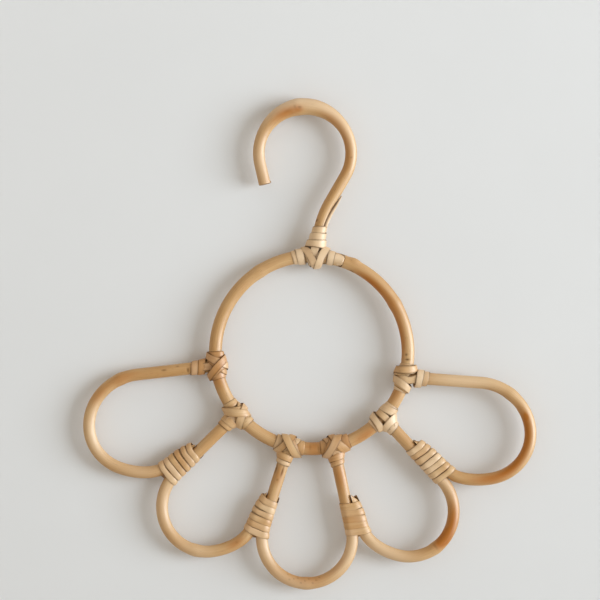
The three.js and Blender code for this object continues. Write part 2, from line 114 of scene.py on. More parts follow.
# Peel. The reach of the turns on a leg is the solid's, from which the laps are placed.
LAP_PITCH = 4.2
KNOT_PITCH = 4.5
KNOT_WIDTH = 5.0
KNOT_CROWN = 0.12
PEEL_THICKNESS = 0.48
PEEL_CLEARANCE = 0.1
PEEL_LAYER = 0.6
LEG_LIFT = 0.12
FLARE_POWER = 1.6
TAIL_TURN = 0.12
LAP_WANDER = 0.5
LAP_WANDER_STEP = 1.3
SIDE_ROUNDING = 0.55
FACE_ROUNDING = 0.8
END_DARKNESS = 0.8
# Strips darken towards their edges as painted shade of the gaps between their turns.
EDGE_PAINTED_SHADE = 0.6
EDGE_POWER = 8
SOLID_WIDTH = 3.2
SOLID_STRAND = 1.2
SOLID_LAYER_GAP = 0.7
SOLID_LEG_TURNS = 2

# How a strip changes along its length: the row of the noise, the length of its waves and how far it reaches
Wander = namedtuple("Wander", "row length reach")
WIDTH_WANDER = Wander(row=0.5, length=9.0, reach=0.16)
PALE_WANDER = Wander(row=3.5, length=23.0, reach=0.6)
WARM_WANDER = Wander(row=7.5, length=19.0, reach=0.3)
EDGE_SHADE_WANDER = Wander(row=11.5, length=8.0, reach=2.4)

# Knots on the ring, in the order of the legs. Bands lie beside the leg, on its right and left as seen from
# the ring's centre, one on each side if not given. Spread moves them away from it, and shift moves the knot
# along the ring. The crossing strips run from beside the leg to the places inside the ring. Then the strip
# climbs the leg from its first turn, which stands out by the flare. Warm and pale tint the whole strip, and
# leg_pale its turns on the leg.
FOOT_KNOTS = [
    dict(mirror=-1, spread=(0.0, 0.0), shift=0.0, inside=(4.6, -4.6, 1.0, -1.0, 4.2), first=8.4,
         pitch=4.2, flare=0.8, warm=0.45, pale=0.05, leg_pale=0.0),
    dict(mirror=1, spread=(0.8, 0.8), shift=0.0, inside=(4.6, -4.2, 1.0, -1.0, 4.6), first=6.4,
         pitch=3.0, flare=1.3, warm=0.15, pale=0.1, leg_pale=0.0),
    dict(mirror=-1, spread=(0.8, 0.3), shift=0.6, inside=(4.2, -4.6, 1.0, -1.0, 4.6), first=6.4,
         pitch=3.0, flare=1.3, warm=0.15, pale=0.1, leg_pale=0.0),
    dict(mirror=1, spread=(0.3, 0.8), shift=0.8, inside=(4.6, -4.6, 1.0, -1.0, 4.2), first=6.4,
         pitch=3.0, flare=1.3, warm=0.35, pale=0.0, leg_pale=0.0),
    dict(mirror=1, spread=(0.4, 0.4), shift=0.8, inside=(-4.8, 4.8, -4.2), first=4.2,
         pitch=3.6, flare=2.2, warm=0.08, pale=0.4, leg_pale=0.3),
    dict(mirror=-1, spread=(0.2, 0.2), shift=-1.2, inside=(-4.4, 4.4, -2.2, 2.2, -3.6), first=8.6,
         pitch=3.4, flare=2.0, warm=0.12, pale=0.18, leg_pale=0.45),
]
FOOT_LEG_TURNS = 2
HOOK_KNOT = dict(
    mirror=1, bands=(1, 2), spread=(3.4, 1.6), shift=0.0,
    inside=(-2.0, 1.5, 0.6, -0.6, -1.0), first=7.0,
    pitch=4.5, flare=2.6, warm=-0.2, pale=0.8, leg_pale=-0.1,
)
HOOK_LEG_TURNS = 3
# Looks of the wraps. The last value of each is the strength of the painted shade along the strip's edges.
LAP_LOOKS = [
    dict(width=3.95, crown=0.45, lead=0.2, warm=0.2, pale=0.15, edge_shade=0.5),
    dict(width=4.2, crown=0.28, lead=0.25, warm=0.2, pale=0.15, edge_shade=0.4),
    dict(width=4.6, crown=0.06, lead=0.25, warm=0.12, pale=0.15, edge_shade=0.15),
    dict(width=4.0, crown=0.35, lead=0.1, warm=0.05, pale=0.4, edge_shade=0.5),
]
BAND_OVERLAP = 0.2
CROTCH_BLEND = 1.5
JOINT_GAP = 0.3
FOLD_BACK = 3

# Where a strip counts as lying on an earlier turn: shares of its width, and cosines between the two
CROSSING_REACH = 0.75
BESIDE_REACH = 0.4
SAME_FACE = 0.2
SAME_WAY = 0.9

# Turns round the ring or a leg
OUTSIDE = 0.0
IN_FRONT = 0.25
INSIDE = 0.5
BEHIND = 0.75
ROUND = 1.0

# Fineness
ARC_POINTS = 320
LAP_POINTS = 40
CANE_SIDES = 40
CANE_STEP = 0.7
STRIP_SIDES = 14
STRIP_STEPS = 56
DOWN_STEPS = STRIP_STEPS // 2
FOLD_STEPS = STRIP_STEPS // 8
NEXT_STEPS = 2 * STRIP_STEPS // 5
HUG_ROUNDS = 4
HUG_PASSES = 6
LIFT_PASSES = 10
LAYER_PASSES = 4

# Seeds of the noise, so that no two pieces are alike
RING_SEED = 100
HOOK_SEED = 700
PETAL_SEEDS = range(1300, 3300, 400)
HOOK_LASHING_SEED = 4000
FOOT_LASHING_SEEDS = range(5000, 8000, 500)
LAP_WRAP_SEEDS = range(9000, 11000, 500)
SPLINTER_SEED = 12000

# Natural unevenness of the cane
WAVER = 0.016
WAVER_LENGTH = 26.0
FOOT_FADE = 10.0
NODE_SWELL = 0.3
NODE_LENGTH = 3.5
SLIT_DEPTH = 0.45

# The cut end of the hook: places past the end, widths and soil of the rings that close it
CUT_EDGE = 0.5
CUT_STATIONS = [(0.6, 0.95, 0.3), (1.0, 0.86, 0.5), (0.9, 0.6, 0.45), (0.8, 0.25, 0.5)]

PEEL_RIDE = PEEL_CLEARANCE + PEEL_THICKNESS / 2
FRONT = Vector((0.0, -1.0, 0.0))


# Points and directions in the plane of the hanger are pairs, with Z as the second number
def heading(angle, length=1.0):
    return Vector((math.cos(math.radians(angle)), math.sin(math.radians(angle)))) * length


def left_of(direction):
    return Vector((-direction.y, direction.x))


def in_space(pair):
    return Vector((pair.x, 0.0, pair.y))


def angle_of(direction):
    return math.degrees(math.atan2(direction.y, direction.x))


def lerp(start, end, share):
    return start + (end - start) * share


def clamp(value):
    return min(1.0, max(0.0, value))


def smoothstep(value, low, high):
    share = clamp((value - low) / (high - low))
    return share * share * (3.0 - 2.0 * share)


class Route:
    """The middle of a bent cane through close points, measured from its start."""

    def __init__(self, points):
        self.points = points
        self.distances = [0.0]
        for before, after in zip(points, points[1:]):
            self.distances.append(self.distances[-1] + (after - before).length)
        self.length = self.distances[-1]

    def place(self, distance):
        index = bisect.bisect_right(self.distances, distance) - 1
        index = max(0, min(index, len(self.points) - 2))
        step = self.distances[index + 1] - self.distances[index]
        share = (distance - self.distances[index]) / step
        return self.points[index].lerp(self.points[index + 1], share)

    def direction(self, distance):
        return (self.place(distance + CANE_STEP) - self.place(distance - CANE_STEP)).normalized()


def arc(centre, half_length, half_width, tilt, start, end):
    """Points on an ellipse between two of its own angles, in radians."""
    turn = math.radians(tilt)
    across = Vector((-math.sin(turn), math.cos(turn)))
    points = []
    for i in range(ARC_POINTS + 1):
        angle = lerp(start, end, i / ARC_POINTS)
        out = Vector((math.cos(turn), math.sin(turn))) * half_length * math.cos(angle)
        points.append(centre + out + across * half_width * math.sin(angle))
    return points


# Layout of the petals and their legs
def petal_angle(index):
    step = 1 if index > MIDDLE_PETAL else -1
    angle = MIDDLE_PETAL_ANGLE
    for i in range(MIDDLE_PETAL, index, step):
        widths = PETALS[i]["half_width"] + PETALS[i + step]["half_width"]
        spacing = widths + PETAL_CANE + PETAL_GAP
        angle += step * 2 * math.degrees(math.asin(spacing / 2 / (RING_RADIUS + PETAL_LENGTH)))
    return angle


def tangent_turn(point, petal, side):
    """The ellipse's own angle where a straight from a point meets the round end of a petal."""
    offset = point - petal["centre"]
    axis = heading(petal["angle"])
    along = offset.dot(axis) / petal["half_length"]
    across = offset.dot(left_of(axis)) / petal["half_width"]
    scaled = Vector((along, across))
    return math.atan2(scaled.y, scaled.x) - side * math.acos(1 / scaled.length)


def round_end(petal, start, end):
    return arc(petal["centre"], petal["half_length"], petal["half_width"], petal["angle"], start, end)


petals = []
for petal_index, petal_sizes in enumerate(PETALS):
    petal_turn = petal_angle(petal_index)
    petal_centre = heading(petal_turn, RING_RADIUS + PETAL_LENGTH)
    petals.append({**petal_sizes, "angle": petal_turn, "centre": petal_centre})


def leg_of(petal, offset):
    angle = petal["angle"] + math.degrees(offset / RING_RADIUS)
    point = heading(angle, RING_RADIUS)
    side = 1 if offset > 0 else -1
    touch = tangent_turn(point, petal, side)
    straight = round_end(petal, touch, touch)[0] - point
    leg = {"petal": petal, "angle": angle, "point": point, "side": side}
    leg.update(direction=straight.normalized(), length=straight.length, radius=PETAL_CANE / 2)
    leg["route"] = Route([point, point + straight])
    return leg


legs = [leg_of(petal, offset) for petal in petals for offset in petal["feet"]]


def lean_of(joint):
    """Angle from the ring's outward direction to the leg, in radians."""
    turn = math.radians(angle_of(joint["direction"]) - joint["angle"])
    return math.remainder(turn, 2 * math.pi)


def first_leg_turn(joint):
    lean = abs(math.tan(lean_of(joint)))
    reach = RING_CANE / 2 + SOLID_STRAND + SOLID_LAYER_GAP + SOLID_WIDTH / 2
    return reach + lean * (joint["radius"] + SOLID_STRAND)


def lashing_reach(joint):
    return first_leg_turn(joint) + LAP_PITCH * (SOLID_LEG_TURNS - 0.25) + SOLID_WIDTH / 2


def lap_of(sizes):
    carrier = legs[sizes["leg"]]
    start = lashing_reach(carrier) + sizes["bare"]
    turns = round((carrier["length"] + sizes["past"] - start) / LAP_PITCH)
    towards = left_of(carrier["direction"]) * carrier["side"]
    beside = carrier["point"] + carrier["direction"] * (start - sizes["over"])
    end = beside + towards * (JOINT_GAP + sizes["tip"])
    return {
        "petal": petals[sizes["petal"]], "carrier": carrier, "start": start, "turns": turns,
        "towards": towards, "end": end, "over": sizes["over"],
    }


laps = [lap_of(sizes) for sizes in LAPS]


def drawn_in(points, lap):
    """A lapped end that its wrap draws towards the leg past the brad, most at the last turn."""
    route = Route(points)
    held = lap["over"] + lap["turns"] * LAP_PITCH
    moved = []
    for point, distance in zip(points, route.distances):
        left = route.length - distance
        pull = smoothstep(left, LAP_DRAW_FROM, held) * (1 - smoothstep(left, held, held + LAP_FADE))
        moved.append(point - lap["towards"] * LAP_DRAW * pull)
    return moved


def petal_route(petal):
    feet = [leg for leg in legs if leg["petal"] is petal]
    first = feet[0]
    own_lap = next((lap for lap in laps if lap["petal"] is petal), None)
    end = own_lap["end"] if own_lap else feet[1]["point"]
    start_turn = tangent_turn(first["point"], petal, first["side"])
    end_turn = tangent_turn(end, petal, -first["side"])
    sweep = (end_turn - start_turn) % (2 * math.pi)
    if first["side"] > 0:
        sweep -= 2 * math.pi
    points = [first["point"], *round_end(petal, start_turn, start_turn + sweep)]
    last = points[-1]
    points.extend(last.lerp(end, step / LAP_POINTS) for step in range(1, LAP_POINTS + 1))
    return Route(drawn_in(points, own_lap) if own_lap else points)


for each_petal in petals:
    each_petal["route"] = petal_route(each_petal)


# The hook: up from the ring, a bend to the right, the neck, the crown and the tip
def circle(centre, radius, start, end):
    return arc(centre, radius, radius, 0, math.radians(start), math.radians(end))


hook_foot = {
    "angle": HOOK_ANGLE, "point": heading(HOOK_ANGLE, RING_RADIUS), "direction": heading(FOOT_HEADING),
    "radius": HOOK_CANE / 2,
}
bend_reach = BEND_RADIUS * math.tan(math.radians(FOOT_HEADING - NECK_HEADING) / 2)
bend_corner = hook_foot["point"] + heading(FOOT_HEADING, FOOT_RUN)
bend_centre = bend_corner - heading(FOOT_HEADING, bend_reach) - left_of(heading(FOOT_HEADING)) * BEND_RADIUS
crown_start = bend_corner + heading(NECK_HEADING, NECK_RUN)
crown_centre = crown_start + left_of(heading(NECK_HEADING)) * CROWN_RADIUS
crown_from = NECK_HEADING - 90
crown_end = crown_centre + heading(crown_from + CROWN_SWEEP, CROWN_RADIUS)
hook_foot["route"] = Route([
    hook_foot["point"],
    *circle(bend_centre, BEND_RADIUS, FOOT_HEADING + 90, NECK_HEADING + 90),
    *circle(crown_centre, CROWN_RADIUS, crown_from, crown_from + CROWN_SWEEP),
    crown_end + heading(NECK_HEADING + CROWN_SWEEP, TIP_RUN),
])
crown_top = hook_foot["route"].length - TIP_RUN - CROWN_RADIUS * math.radians(crown_from + CROWN_SWEEP - 90)
seat = in_space(crown_centre + heading(90, CROWN_RADIUS - CROWN_CANE / 2))


def hook_radius(distance):
    away = min(1.0, abs(distance - crown_top) / CROWN_SWELL)
    return lerp(HOOK_CANE, CROWN_CANE, math.cos(away * math.pi / 2) ** 2) / 2


# Meshes with the values that the materials read at each vertex
def no_values():
    return {"grain": [], "dark": [], "warm": [], "pale": []}


def new_piece(name, node, vertices, faces, values, material):
    mesh = bpy.data.meshes.new(name)
    mesh.from_pydata([(vertex - seat) * MM for vertex in vertices], [], faces)
    for key, numbers in values.items():
        if isinstance(numbers[0], Vector):
            layer = mesh.attributes.new(key, "FLOAT_VECTOR", "POINT")
            layer.data.foreach_set("vector", [part for vector in numbers for part in vector])
        else:
            layer = mesh.attributes.new(key, "FLOAT", "POINT")
            layer.data.foreach_set("value", numbers)
    mesh.polygons.foreach_set("use_smooth", [True] * len(mesh.polygons))
    mesh.materials.append(material)
    piece = bpy.data.objects.new(name, mesh)
    bpy.context.scene.collection.objects.link(piece)
    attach(piece, BODY)
    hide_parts(node)
    return piece


def loft_faces(rings, sides):
    faces = []
    for ring in range(rings - 1):
        for side in range(sides):
            a = ring * sides + side
            b = ring * sides + (side + 1) % sides
            faces.append((a, b, b + sides, a + sides))
    faces.append(tuple(range(sides - 1, -1, -1)))
    faces.append(tuple((rings - 1) * sides + side for side in range(sides)))
    return faces


# Marks on a cane. A mark is a soft oval: its kind, the distance along the cane, the turn round it (0 is
# left of the cane's direction and 90 the front), its half length, its half width and its strength. A lump's
# strength is its height.
Mark = namedtuple("Mark", "kind at turn long wide strength")
MARK_KINDS = ("dark", "warm", "pale", "lump")

RING_MARKS = [
    Mark("pale", 7, 110, long=10, wide=7, strength=1.0),
    Mark("lump", 3, 90, long=6, wide=6, strength=0.18),
    Mark("pale", 5.5, 42, long=1.8, wide=1.6, strength=0.9),
    Mark("dark", 9, 150, long=1, wide=1, strength=0.5),
    Mark("dark", 4.5, 158, long=1, wide=1, strength=0.5),
    Mark("dark", 4.6, 28, long=1.6, wide=1, strength=0.7),
    Mark("warm", 140, 100, long=9, wide=9, strength=0.4),
    Mark("warm", 222, 80, long=10, wide=16, strength=0.6),
    Mark("dark", 219.5, 70, long=1, wide=4, strength=0.3),
    Mark("dark", 225, 90, long=1, wide=4, strength=0.35),
    Mark("warm", 257, 112, long=15, wide=5, strength=0.7),
    Mark("warm", 291, 45, long=10, wide=6, strength=0.45),
    Mark("dark", 314.3, 84, long=1.1, wide=2.3, strength=0.9),
    Mark("dark", 317.5, 72, long=1.4, wide=1.3, strength=0.7),
    Mark("warm", 326, 24, long=24, wide=5.5, strength=0.75),
    Mark("warm", 355, 50, long=36, wide=6, strength=0.75),
    Mark("warm", 376, 45, long=18, wide=4, strength=0.6),
    Mark("dark", 388.5, 22, long=2.4, wide=1, strength=0.8),
    Mark("lump", 389.5, 160, long=5, wide=5, strength=0.8),
]
# The hook's pale marks, on its crown and along its tip, are painted highlight.
HOOK_MARKS = [
    Mark("dark", 22.8, 30, long=1.3, wide=1.3, strength=0.9),
    Mark("dark", 30, 148, long=11, wide=1.2, strength=0.6),
    Mark("dark", 69, 91, long=1, wide=1, strength=0.4),
    Mark("warm", 72, 62, long=24, wide=4.5, strength=0.4),
    Mark("warm", 96, 66, long=24, wide=5.5, strength=0.5),
    Mark("warm", 131, 84, long=18, wide=7, strength=0.85),
    Mark("warm", 123, 79, long=4, wide=3, strength=0.5),
    Mark("dark", 122.5, 88, long=1.8, wide=1.0, strength=0.4),
    Mark("dark", 125.5, 98, long=1.2, wide=1.6, strength=0.25),
    Mark("dark", 131, 85, long=3.5, wide=0.8, strength=0.2),
    Mark("pale", 88, 125, long=30, wide=7, strength=0.4),
    Mark("pale", 114, 125, long=24, wide=7, strength=0.6),
    Mark("pale", 134, 150, long=24, wide=6, strength=0.6),
    Mark("pale", 172, 60, long=30, wide=10, strength=0.5),
    Mark("lump", 124, 165, long=36, wide=13, strength=0.9),
    Mark("dark", 186, 12, long=1.6, wide=1.4, strength=0.9),
    Mark("lump", 186, 12, long=1.6, wide=1.8, strength=1.0),
]
SPECKLES = [
    Mark("dark", 94 + 2.6 * i, 40 + 22 * (i * 2 % 3), long=0.9, wide=0.9, strength=0.35)
    for i in range(10)
]
# The petals' pale marks are painted highlight along their lit sides.
PETAL_MARKS = [
    [
        Mark("dark", 18.5, 78, long=1, wide=2.8, strength=0.7),
        Mark("dark", 25, 128, long=1.7, wide=0.9, strength=0.5),
        Mark("dark", 34, 104, long=2.6, wide=1, strength=0.6),
        Mark("warm", 62, 92, long=14, wide=7, strength=0.45),
        Mark("warm", 80, 104, long=13, wide=6, strength=0.45),
        Mark("pale", 108, 55, long=34, wide=7, strength=0.7),
        Mark("pale", 150, 75, long=26, wide=9, strength=0.35),
    ],
    [
        Mark("warm", 146, 84, long=10, wide=4, strength=0.6),
        Mark("dark", 146.5, 80, long=1.6, wide=1, strength=0.25),
        Mark("pale", 75, 66, long=36, wide=10, strength=0.45),
        Mark("pale", 118, 85, long=24, wide=10, strength=0.35),
    ],
    [
        Mark("dark", 17, 73, long=5.5, wide=1, strength=0.75),
        Mark("dark", 16, 148, long=6, wide=1.8, strength=0.6),
        Mark("dark", 23, 96, long=1, wide=1, strength=0.5),
        Mark("warm", 20, 96, long=10, wide=5, strength=0.5),
        Mark("warm", 110, 60, long=22, wide=7, strength=0.45),
        Mark("warm", 196, 90, long=14, wide=7, strength=0.5),
        Mark("warm", 134, 50, long=15, wide=3.5, strength=0.5),
        Mark("pale", 64, 80, long=36, wide=10, strength=0.5),
        Mark("pale", 100, 110, long=24, wide=7, strength=0.4),
        Mark("pale", 146, 95, long=34, wide=10, strength=0.5),
        *SPECKLES,
    ],
    [
        Mark("warm", 88, 98, long=24, wide=8, strength=1.0),
        Mark("warm", 98, 104, long=10, wide=8, strength=1.0),
        Mark("dark", 105.2, 110, long=1, wide=4.5, strength=0.3),
        Mark("pale", 50, 90, long=30, wide=10, strength=0.45),
        Mark("pale", 140, 75, long=34, wide=10, strength=0.55),
    ],
    [
        Mark("pale", 38, 70, long=38, wide=10, strength=0.55),
        Mark("warm", 88, 100, long=4, wide=2.5, strength=0.5),
        Mark("warm", 94, 125, long=22, wide=6, strength=1.0),
        Mark("warm", 118, 128, long=24, wide=6.5, strength=1.0),
        Mark("warm", 141, 95, long=24, wide=6, strength=0.9),
    ],
]
RING_NODES = [352, 60]
HOOK_NODES = [124]
PETAL_NODES = [[63], [118], [108], [105.5], [70.5]]


def mark_strength(marks, kind, distance, turn, radius):
    total = 0.0
    for mark in marks:
        along = (distance - mark.at) / mark.long
        if mark.kind != kind or abs(along) > 1:
            continue
        away = math.remainder(math.radians(turn - mark.turn), 2 * math.pi) * radius
        square = along**2 + (away / mark.wide) ** 2
        if square < 1:
            total += mark.strength * (1 - square) ** 2
    return total


def node_swelling(nodes, distance):
    return sum(math.exp(-(((distance - at) / NODE_LENGTH) ** 2)) for at in nodes)


def unevenness(distance, turn, seed):
    place = Vector((math.cos(turn), math.sin(turn), distance / WAVER_LENGTH + seed))
    return WAVER * noise.noise(place)


def cane(node, route, radius_at, material, seed, marks=(), nodes=(), start=0.0, end=None,
         start_shift=None, end_shift=None, trim=None, cut_end=False):
    """A round cane along a route. Its ends may shift along it by the turn, and a trim may flatten it."""
    last = route.length if end is None else end
    steps = math.ceil((last - start) / CANE_STEP)
    stations = [(lerp(start, last, step / steps), 1.0, 0.0) for step in range(steps + 1)]
    if cut_end:
        stations.extend((last + CUT_EDGE * out, width, darkening) for out, width, darkening in CUT_STATIONS)
    vertices = []
    values = no_values()
    for distance, width, darkening in stations:
        sideways = in_space(left_of(route.direction(min(distance, last))))
        swelling = NODE_SWELL * node_swelling(nodes, distance)
        for side in range(CANE_SIDES):
            turn = 360 * side / CANE_SIDES
            angle = math.radians(turn)
            radius = radius_at(distance)
            strengths = {kind: mark_strength(marks, kind, distance, turn, radius) for kind in MARK_KINDS}
            values["dark"].append(min(1.0, strengths["dark"] + darkening))
            values["warm"].append(min(1.0, strengths["warm"]))
            values["pale"].append(min(1.0, strengths["pale"]))
            radius *= 1 + unevenness(distance, angle, seed)
            radius += swelling + strengths["lump"] - SLIT_DEPTH * min(1.0, strengths["dark"])
            along = distance
            if start_shift:
                along += start_shift(angle) * max(0.0, 1 - (distance - start) / FOOT_FADE)
            if end_shift:
                along += end_shift(angle) * max(0.0, 1 - (last - distance) / FOOT_FADE)
            across = math.cos(angle)
            front = math.sin(angle)
            offset = sideways * across + FRONT * front
            point = in_space(route.place(along)) + offset * radius * width
            vertices.append(trim(point, distance) if trim else point)
            values["grain"].append(Vector((radius * across, radius * front, along + seed)))
    faces = loft_faces(len(stations), CANE_SIDES)
    new_piece(f"{node}_shown", node, vertices, faces, values, material)


# Ends of canes
def cope(joint):
    """Start of a leg on the ring's round surface: the distance from the ring's middle, by the turn."""
    lean = lean_of(joint)
    tube = RING_CANE / 2 + JOINT_GAP

    def reach(angle):
        across = joint["radius"] * math.cos(angle)
        front = joint["radius"] * math.sin(angle)
        return (math.sqrt(tube**2 - front**2) + across * math.sin(lean)) / math.cos(lean)

    return reach


def keep_beyond(point, origin, normal, way):
    """Slides a point that lies behind a plane along a way until it is on it."""
    depth = (point - origin).dot(normal)
    return point - way * (depth / way.dot(normal)) if depth < 0 else point


def scarf_trim(length):
    """Both ends of the ring are cut along one slanted plane. The start lies in front, with a square tip."""
    slope = math.atan2(RING_CANE, SCARF_LENGTH)
    normal = FRONT * math.cos(slope) + in_space(left_of(heading(SCARF_ANGLE))) * math.sin(slope)
    middle = in_space(heading(SCARF_ANGLE, RING_RADIUS))
    gap = normal * JOINT_GAP / 2

    def trim(point, distance):
        if distance < SCARF_LENGTH:
            return keep_beyond(point, middle + gap, normal, normal)
        if distance > length - SCARF_LENGTH + SCARF_TIP - JOINT_GAP:
            return keep_beyond(point, middle - gap, -normal, normal)
        return point

    return trim


def lap_trim(lap):
    """A lapped end is shaved flat against the leg that carries it, and cut on a slant to a point."""
    normal = in_space(lap["towards"])
    along = in_space(lap["carrier"]["direction"])
    face = in_space(lap["carrier"]["point"]) + normal * (PETAL_CANE / 2 + JOINT_GAP)
    tip = face + along * (lap["start"] - lap["over"])
    slant = math.radians(LAP_SLANT)
    cut = along * math.cos(slant) - normal * math.sin(slant)
    cut_from = lap["petal"]["route"].length - 2 * PETAL_CANE
    shaved_from = lap["petal"]["route"].length - (lap["over"] + lap["turns"] * LAP_PITCH + PETAL_CANE)

    def trim(point, distance):
        if distance > cut_from:
            point = keep_beyond(point, tip, cut, along)
        return keep_beyond(point, face, normal, normal) if distance > shaved_from else point

    return trim


def make_ring(material):
    half = math.degrees(SCARF_LENGTH / 2 / RING_RADIUS)
    route = Route(circle(Vector((0.0, 0.0)), RING_RADIUS, SCARF_ANGLE - half, SCARF_ANGLE + half + 360))
    cane(
        "ring_cane", route, lambda distance: RING_CANE / 2, material, RING_SEED, RING_MARKS, RING_NODES,
        start=SCARF_TIP - CANE_STEP, trim=scarf_trim(route.length),
    )


def make_hook(material):
    reach = cope(hook_foot)
    start = RING_CANE / 2
    cane(
        "hook_cane", hook_foot["route"], hook_radius, material, HOOK_SEED, HOOK_MARKS, HOOK_NODES,
        start=start, start_shift=lambda angle: reach(angle) - start, cut_end=True,
    )


def make_petal(index, material):
    petal = petals[index]
    feet = [leg for leg in legs if leg["petal"] is petal]
    start = RING_CANE / 2
    first = cope(feet[0])
    shape = {"start": start, "start_shift": lambda angle: first(angle) - start}
    if len(feet) > 1:
        second = cope(feet[1])
        shape["end"] = petal["route"].length - start
        shape["end_shift"] = lambda angle: start - second(math.pi - angle)
    else:
        shape["trim"] = lap_trim(next(lap for lap in laps if lap["petal"] is petal))
    cane(
        f"petal_cane_{index + 1}", petal["route"], lambda distance: PETAL_CANE / 2, material,
        PETAL_SEEDS[index], PETAL_MARKS[index], PETAL_NODES[index], **shape,
    )


# Strips of peel
def strip_section(crown):
    """Places across and over the middle, for points round a flat strip with a crowned face."""
    points = []
    for side in range(STRIP_SIDES):
        angle = 2 * math.pi * side / STRIP_SIDES
        across = math.copysign(abs(math.cos(angle)) ** SIDE_ROUNDING, math.cos(angle))
        over = math.copysign(abs(math.sin(angle)) ** FACE_ROUNDING, math.sin(angle))
        points.append((across, over * PEEL_THICKNESS / 2 + crown * (1 - across**2)))
    return points


def smoothed(strand, passes):
    for _ in range(passes):
        softer = [strand[0]]
        for before, here, after in zip(strand, strand[1:], strand[2:]):
            point = (before[0] + here[0] * 2 + after[0]) / 4
            softer.append((point, (before[1] + here[1] * 2 + after[1]).normalized()))
        softer.append(strand[-1])
        strand = softer
    return strand


def strip(node, strand, width, crown, material, seed, tint, leg_from=None, part="shown", taper=0.0,
          edge_shade=EDGE_PAINTED_SHADE):
    """A strip of peel through points, each with the direction that its face looks."""

    def wander(kind):
        return kind.reach * noise.noise(Vector((travelled / kind.length, kind.row, seed)))

    section = strip_section(crown)
    vertices = []
    values = no_values()
    travelled = 0.0
    last = len(strand) - 1
    for index, (point, normal) in enumerate(strand):
        before = strand[max(0, index - 1)][0]
        after = strand[min(last, index + 1)][0]
        direction = (after - before).normalized()
        sideways = normal.cross(direction).normalized()
        up = direction.cross(sideways)
        if index:
            travelled += (point - before).length
        half = width / 2 * (1 + wander(WIDTH_WANDER)) * (1 - taper * (index / len(strand)) ** 2)
        cut = END_DARKNESS if index in (0, last) else 0.0
        # Painted shade: the strip darkens towards its edges, where the gaps between its turns lie.
        darkening = clamp(edge_shade * (1 + wander(EDGE_SHADE_WANDER)))
        warm = clamp(tint["warm"] + wander(WARM_WANDER))
        on_a_leg = leg_from is not None and index >= leg_from
        pale = clamp(tint["pale"] + wander(PALE_WANDER) + (tint["leg_pale"] if on_a_leg else 0.0))
        for across, over in section:
            vertices.append(point + sideways * across * half + up * over)
            values["grain"].append(Vector((across * half, over, travelled + seed)))
            values["dark"].append(max(cut, abs(across) ** EDGE_POWER * darkening))
            values["warm"].append(warm)
            values["pale"].append(pale)
    faces = loft_faces(len(strand), STRIP_SIDES)
    return new_piece(f"{node}_{part}", node, vertices, faces, values, material)


def offset_at(route, lap, distance):
    """Distance of a route from the carrying leg's axis, where it crosses the line square to that leg."""
    local = []
    for point in route.points:
        offset = point - lap["carrier"]["point"]
        local.append((offset.dot(lap["carrier"]["direction"]), offset.dot(lap["towards"])))
    for near, far in zip(local, local[1:]):
        share = (distance - near[0]) / (far[0] - near[0])
        if 0 <= share <= 1 and abs(near[1]) < LAP_NEAR:
            return lerp(near[1], far[1], share)
    raise ValueError("a wrap lies past the leg that it binds")


def slope_at(route, lap, distance):
    start = max(lap["start"], distance - LAP_PITCH)
    end = distance + LAP_PITCH
    return (offset_at(route, lap, end) - offset_at(route, lap, start)) / (end - start)


def stadium(run, bow, flat):
    """Place on an outline of two half circles and two straights, from the middle of its back."""
    bend = math.pi * bow
    quarter = math.pi / 2
    if run < flat / 2:
        return flat / 2 + run, -quarter
    if run < flat / 2 + bend:
        return flat, (run - flat / 2) / bow - quarter
    if run < 1.5 * flat + bend:
        return 1.5 * flat + bend - run, quarter
    if run < 1.5 * flat + 2 * bend:
        return 0.0, (run - 1.5 * flat - bend) / bow + quarter
    return run - 1.5 * flat - 2 * bend, 3 * quarter


def lap_strand(lap, lead_turn):
    """A left-handed helix round a leg and the end that is lapped on it."""
    bow = PETAL_CANE / 2 + PEEL_RIDE
    leg = lap["carrier"]["petal"]["route"]
    lapped = lap["petal"]["route"]
    strand = []
    lead = round(lead_turn * STRIP_STEPS)
    tail = round(TAIL_TURN * STRIP_STEPS)
    for step in range(-lead, lap["turns"] * STRIP_STEPS + tail + 1):
        turn = step / STRIP_STEPS
        wander = LAP_WANDER * noise.noise(Vector((turn * LAP_WANDER_STEP, lap["start"], 0.5)))
        distance = lap["start"] + turn * LAP_PITCH + wander
        near = offset_at(leg, lap, distance)
        flat = offset_at(lapped, lap, distance) - near
        share = turn % 1 if lap["carrier"]["side"] < 0 else 1 - turn % 1
        across, swing = stadium(share * (2 * math.pi * bow + 2 * flat), bow, flat)
        slope = slope_at(lapped if math.cos(swing) > 0 else leg, lap, distance)
        square = lap["towards"] - lap["carrier"]["direction"] * slope
        normal = in_space(square) * math.cos(swing) + FRONT * math.sin(swing)
        middle = lap["carrier"]["point"] + lap["carrier"]["direction"] * distance
        point = in_space(middle + lap["towards"] * (near + across)) + normal * bow
        strand.append((point, normal.normalized()))
    return strand


def on_ring(joint, across, turn):
    """A point on the ring, by its arc length from the leg and its turn round the ring's cane."""
    outward = in_space(heading(joint["angle"] + math.degrees(across / RING_RADIUS)))
    swing = 2 * math.pi * turn
    normal = outward * math.cos(swing) + FRONT * math.sin(swing)
    return outward * RING_RADIUS + normal * (RING_CANE / 2 + PEEL_RIDE)


def on_leg(joint, distance, turn, mirror):
    swing = 2 * math.pi * turn
    sideways = in_space(left_of(joint["route"].direction(distance))) * mirror
    normal = sideways * math.cos(swing) + FRONT * math.sin(swing)
    return in_space(joint["route"].place(distance)) + normal * (joint["radius"] + PEEL_RIDE)


